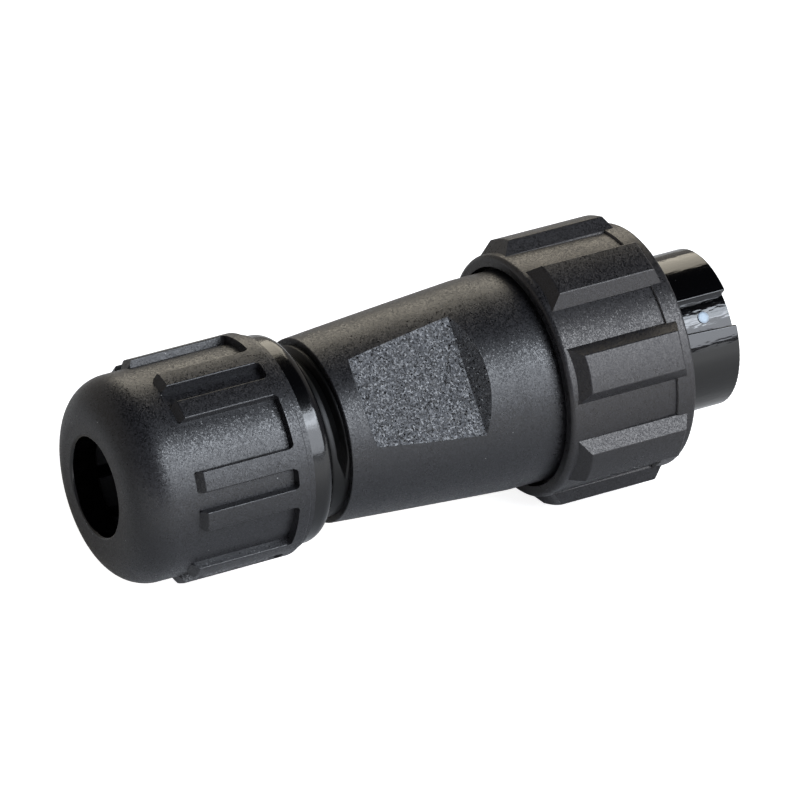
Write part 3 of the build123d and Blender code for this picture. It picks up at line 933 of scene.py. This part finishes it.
ridge = [(0.0, NUT_ROOT), (0.18, NUT_ROOT), (0.55, NUT_CREST),
         (0.61, NUT_CREST), (0.8, NUT_ROOT), (1.0, NUT_ROOT)]
nut_thread_front = nut_front_x - NUT_THREAD_INSET
nut_thread = thread(
    "nut_thread", (nut_thread_front - NUT_THREAD_LENGTH, nut_thread_front), ridge,
    GLAND_PITCH, GROOVE_CENTRE, NUT_ROOT + HIDDEN_DEPTH
)
nut_thread.data.materials.append(smooth_nylon)
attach(nut_thread, "gland_nut")

# %% [markdown]
# The coupling ring has its own thread inside, which pulls the connector on to its mate. It
# shows from the front, round the nose.

# %% Thread of the coupling ring
COUPLING_ROOT = 11.69 * MM
COUPLING_CREST = 11.2 * MM
COUPLING_PITCH = 2.0 * MM
COUPLING_LENGTH = 8.4 * MM
COUPLING_INSET = 0.9 * MM

coupling_ridge = [(0.0, COUPLING_ROOT), (0.2, COUPLING_ROOT), (0.4, COUPLING_CREST),
                  (0.6, COUPLING_CREST), (0.8, COUPLING_ROOT), (1.0, COUPLING_ROOT)]
coupling_front = ring_front_x - COUPLING_INSET
coupling_thread = thread(
    "coupling_thread", (coupling_front - COUPLING_LENGTH, coupling_front), coupling_ridge,
    COUPLING_PITCH, ring_front_x, COUPLING_ROOT + HIDDEN_DEPTH
)
coupling_thread.data.materials.append(smooth_nylon)
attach(coupling_thread, "coupling_ring")

# %% [markdown]
# The camera stands where the photographer's did. A long lens far away keeps the connector's
# sides nearly parallel. The camera's axes are given by where it looks and which way is up.

# %% Camera
CAMERA_PLACE = Vector((-444.56, -736.84, 464.78)) * MM
LOOKS_ALONG = Vector((0.42323, 0.76667, -0.48281))
FOCAL_LENGTH = 398.05

camera_data = bpy.data.cameras.new("camera")
camera_data.sensor_width = 36.0
camera_data.lens = FOCAL_LENGTH
camera_data.clip_start = 0.01
camera_data.clip_end = 50.0
camera = bpy.data.objects.new("camera", camera_data)
bpy.context.scene.collection.objects.link(camera)
back = -LOOKS_ALONG.normalized()
right = Vector((0, 0, 1)).cross(back).normalized()
above = back.cross(right)
axes = Matrix((right, above, back)).transposed().to_4x4()
camera.matrix_world = Matrix.Translation(CAMERA_PLACE) @ axes
bpy.context.scene.camera = camera
print("camera at", tuple(round(value, 3) for value in camera.location))

# %% [markdown]
# The floor is a plain white sweep. Its paint is an ordinary pale surface. Where the camera sees
# it, some glow is added, so that it goes to white there, and only the deepest part of the
# object's shadow stays. In reflections the glow grows on the camera's side with the distance
# from the object's axis, as a lit table is darker where the object keeps the light away.

# %% Floor paint
GLOW_SEEN = 0.87
GLOW_MIRRORED = 0.8
GLOW_STARTS_Y = -12 * MM
GLOW_FULL_Y = -60 * MM


def make_floor_paint():
    finish = new_material("floor_paint", (0.8, 0.8, 0.8), roughness=0.9)
    tree, shader = finish.tree, finish.shader
    paths = add(tree, "ShaderNodeLightPath")
    glow = add(tree, "ShaderNodeEmission")
    axes = add(tree, "ShaderNodeSeparateXYZ")
    join(tree, finish.place, axes.inputs[0])
    spread = add(tree, "ShaderNodeMapRange")
    join(tree, axes.outputs["Y"], spread.inputs["Value"])
    spread.inputs["From Min"].default_value = GLOW_STARTS_Y
    spread.inputs["From Max"].default_value = GLOW_FULL_Y
    spread.inputs["To Max"].default_value = GLOW_MIRRORED
    strength = between(tree, paths.outputs["Is Camera Ray"], spread.outputs["Result"], GLOW_SEEN)
    join(tree, strength, glow.inputs["Strength"])
    lit = add(tree, "ShaderNodeAddShader")
    join(tree, shader.outputs[0], lit.inputs[0])
    join(tree, glow.outputs[0], lit.inputs[1])
    mirrored = calculate(
        tree, "MAXIMUM", paths.outputs["Is Glossy Ray"], paths.outputs["Is Transmission Ray"]
    )
    seen = calculate(tree, "MAXIMUM", paths.outputs["Is Camera Ray"], mirrored)
    either = add(tree, "ShaderNodeMixShader")
    join(tree, seen, either.inputs[0])
    join(tree, shader.outputs[0], either.inputs[1])
    join(tree, lit.outputs[0], either.inputs[2])
    join(tree, either.outputs[0], tree.nodes["Material Output"].inputs["Surface"])
    return finish.material


floor_paint = make_floor_paint()
print("material", floor_paint.name)

# %% [markdown]
# The floor itself is one large square under the lowest point of the connector. It belongs to
# the stage, not to the part.

# %% Floor
FLOOR_SIZE = 6.0
floor_height = cad_box[0][2]
floor_mesh = bpy.data.meshes.new("floor")
half = FLOOR_SIZE / 2
corners = [(-half, -half, 0), (half, -half, 0), (half, half, 0), (-half, half, 0)]
floor_mesh.from_pydata(corners, [], [(0, 1, 2, 3)])
floor = bpy.data.objects.new("floor", floor_mesh)
floor.location.z = floor_height
floor.data.materials.append(floor_paint)
bpy.context.scene.collection.objects.link(floor)
print("floor at", round(floor_height, 5))

# %% [markdown]
# A narrow, strong softbox stands to the right of the camera and gives the bright band along
# the upper front of each round form. A large, weaker one under it lights the front below that
# band. The distance and size of a lamp decide how wide its reflection is: these two together
# reach from 5 to 46 degrees above the floor, as seen from the object. A third, warm one stands
# behind the object and is mirrored along the tops. Angles are in degrees, and an azimuth of 0
# is straight in front of the connector.

# %% Softboxes
OBJECT_MIDDLE = Vector((-37.6, 0.0, 0.0)) * MM


def softbox(name, azimuth, elevation, distance, width, height, power, color):
    """Rectangular lamp at a distance from the object's middle, turned towards it."""
    lamp = bpy.data.lights.new(name, "AREA")
    lamp.shape = "RECTANGLE"
    lamp.size = width
    lamp.size_y = height
    lamp.energy = power
    lamp.color = color
    box = bpy.data.objects.new(name, lamp)
    around, upward = math.radians(azimuth), math.radians(elevation)
    away = Vector((math.sin(around), -math.cos(around), math.tan(upward))).normalized()
    facing = away.to_track_quat("Z", "Y").to_matrix().to_4x4()
    box.matrix_world = Matrix.Translation(OBJECT_MIDDLE + away * distance) @ facing
    bpy.context.scene.collection.objects.link(box)
    return box


key_lamp = softbox(
    "key_lamp", azimuth=30.0, elevation=39.5, distance=1.2, width=0.9, height=0.28,
    power=8.0, color=(0.9, 0.97, 1.06)
)
front_lamp = softbox(
    "front_lamp", azimuth=27.0, elevation=21.5, distance=1.25, width=0.9, height=0.74,
    power=11.6, color=(0.92, 0.97, 1.05)
)
back_lamp = softbox(
    "back_lamp", azimuth=152.0, elevation=31.0, distance=1.25, width=0.6, height=0.68,
    power=3.8, color=(1.0, 0.92, 0.76)
)
print("lamps:", key_lamp.name, front_lamp.name, back_lamp.name)

# %% [markdown]
# The rest of the studio is the world's background. Behind the object is a pale wall; overhead
# is dark, which leaves the black band between the tops and the softbox's reflection; the room
# in front is a dim grey. What is behind and what is overhead are told by the Y and Z of the
# direction in which one looks. The camera itself sees plain white all round.

# %% World
ROOM_IN_FRONT = (0.24, 0.24, 0.27, 1.0)
WALL_BEHIND = (0.38, 0.36, 0.34, 1.0)
CEILING = (0.004, 0.004, 0.005, 1.0)


def make_studio():
    world = bpy.data.worlds.new("studio")
    world.use_nodes = True
    tree = world.node_tree
    direction = add(tree, "ShaderNodeTexCoord").outputs["Generated"]
    axes = add(tree, "ShaderNodeSeparateXYZ")
    join(tree, direction, axes.inputs[0])
    ramps = []
    for axis, low_end, high_end in (("Y", -0.2, 0.35), ("Z", 0.74, 0.64)):
        ramp = add(tree, "ShaderNodeMapRange", interpolation_type="SMOOTHSTEP")
        join(tree, axes.outputs[axis], ramp.inputs["Value"])
        ramp.inputs["From Min"].default_value = low_end
        ramp.inputs["From Max"].default_value = high_end
        ramps.append(ramp.outputs["Result"])
    behind, under_ceiling = ramps
    walls = blend_colors(tree, behind, ROOM_IN_FRONT, WALL_BEHIND)
    room = blend_colors(tree, under_ceiling, CEILING, walls)
    background = tree.nodes["Background"]
    join(tree, room, background.inputs["Color"])
    white = add(tree, "ShaderNodeBackground")
    white.inputs["Color"].default_value = (1, 1, 1, 1)
    paths = add(tree, "ShaderNodeLightPath")
    seen = calculate(
        tree, "MAXIMUM", paths.outputs["Is Camera Ray"], paths.outputs["Is Transmission Ray"]
    )
    either = add(tree, "ShaderNodeMixShader")
    join(tree, seen, either.inputs[0])
    join(tree, background.outputs[0], either.inputs[1])
    join(tree, white.outputs[0], either.inputs[2])
    join(tree, either.outputs[0], tree.nodes["World Output"].inputs["Surface"])
    return world


bpy.context.scene.world = make_studio()
bpy.context.scene.view_settings.view_transform = "Standard"
print("world", bpy.context.scene.world.name)
